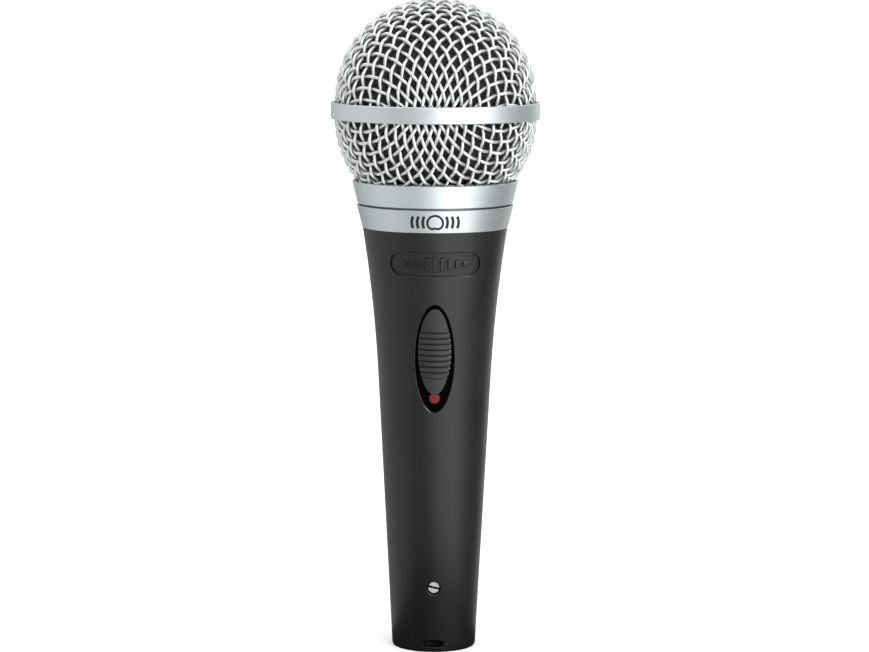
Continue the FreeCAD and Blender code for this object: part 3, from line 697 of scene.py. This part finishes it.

# A round dark card under the tail, seen only as what the foot of the enamel mirrors: a painted shade, which
# stands for the floor darkened round the foot.
bpy.ops.mesh.primitive_circle_add(vertices=64, radius=54 * MM, fill_type="NGON",
                                  location=(0, -36 * MM, -0.5 * MM))
card = bpy.context.object
card.name = "shade_card_under_tail"
card.visible_camera = card.visible_diffuse = card.visible_shadow = card.visible_transmission = False
shade_black, tree, shader = finish_of("painted_shade_card", Base_Color=srgb("101010"), Roughness=1.0)
card.data.materials.append(shade_black)

# Brightness of the walls by compass angle, 0 behind the camera and positive to its right.
WALLS = ((-180, 0.55), (-150, 0.6), (-125, 0.92), (-75, 1.05), (-60, 0.92), (-45, 0.7), (-25, 0.72),
         (-8, 1.02), (5, 2.0), (15, 2.4), (50, 2.4), (62, 1.8), (76, 0.85), (92, 0.45), (118, 0.35),
         (132, 0.55), (144, 1.0), (165, 1.0), (180, 0.7))
# Their share of that brightness by the sine of the height, dimmer along the skirting.
SKIRTING = ((-1.0, 0.95), (-0.42, 1.0), (-0.3, 0.66), (-0.18, 0.66), (-0.1, 1.0))
BRIGHTEST, CEILING = 3.0, 1.6


def grey_ramp(tree, source, stops):
    """A ramp of greys through (place, level) stops."""
    node = add(tree, "ShaderNodeValToRGB", _0=source)
    elements = node.color_ramp.elements
    while len(elements) < len(stops):
        elements.new(0.5)
    for stop, (position, level) in zip(elements, stops):
        stop.position = position
        stop.color = (level, level, level, 1)
    return node.outputs[0]


world = bpy.data.worlds.new("studio")
scene.world = world
world.use_nodes = True
world.cycles.sampling_method = "NONE"
tree = world.node_tree
tree.nodes.clear()
way = add(tree, "ShaderNodeSeparateXYZ", _0=add(tree, "ShaderNodeTexCoord").outputs["Generated"])
facing = add(tree, "ShaderNodeMath", {"operation": "MULTIPLY", 1: -1.0}, _0=way.outputs["Y"])
compass = add(tree, "ShaderNodeMath", {"operation": "ARCTAN2"}, _0=way.outputs["X"], _1=facing.outputs[0])
share = add(tree, "ShaderNodeMapRange", {"From Min": -math.pi, "From Max": math.pi}, Value=compass.outputs[0])
walls = grey_ramp(tree, share.outputs[0],
                  [((angle + 180) / 360, level / BRIGHTEST) for angle, level in WALLS])
depth = add(tree, "ShaderNodeMapRange", {"From Min": -1.0, "From Max": 1.0}, Value=way.outputs["Z"])
low = grey_ramp(tree, depth.outputs[0], [((sine + 1) / 2, level) for sine, level in SKIRTING])
lit = add(tree, "ShaderNodeVectorMath", {"operation": "SCALE"}, _0=walls, Scale=low)
height = add(tree, "ShaderNodeMapRange",
             {"From Min": 0.4, "From Max": 0.75, "interpolation_type": "SMOOTHSTEP"},
             Value=way.outputs["Z"])
top = CEILING / BRIGHTEST
room = add(tree, "ShaderNodeMix", {"data_type": "RGBA", 7: (top, top, top, 1)}, Factor=height.outputs[0],
           _6=lit.outputs[0])
plain = 1 / BRIGHTEST
seen = add(tree, "ShaderNodeMix", {"data_type": "RGBA", 7: (plain, plain, plain, 1)},
           Factor=add(tree, "ShaderNodeLightPath").outputs["Is Camera Ray"], _6=room.outputs[2])
glow = add(tree, "ShaderNodeBackground", {"Strength": BRIGHTEST}, Color=seen.outputs[2])
add(tree, "ShaderNodeOutputWorld", Surface=glow.outputs[0])


def softbox(name, place, aim, width, watts):
    """A square lamp that faces what it is aimed at."""
    lamp = bpy.data.lights.new(name, "AREA")
    lamp.shape = "RECTANGLE"
    lamp.size = lamp.size_y = width
    lamp.energy = watts
    box = bpy.data.objects.new(name, lamp)
    box.location = place
    box.rotation_euler = (Vector(aim) - Vector(place)).to_track_quat("-Z", "Y").to_euler()
    scene.collection.objects.link(box)
    return box


softbox("key_right", (0.52, -0.76, 0.42), (0, 0, 0.12), 0.6, 2.5)
# A small lamp high on the right draws the bright lines on the edges of the switch. It
# lights nothing but the enamel and the button, and those only by its mirror image.
glint = softbox("glint_right", (0.9, -0.06, 0.86), (0, 0, 0.08), 0.3, 24.0)
glint.visible_diffuse = False
lit_pieces = bpy.data.collections.new("lit_by_glint")
for piece in (nodes["handle_body"], button):
    lit_pieces.objects.link(piece)
glint.light_linking.receiver_collection = lit_pieces
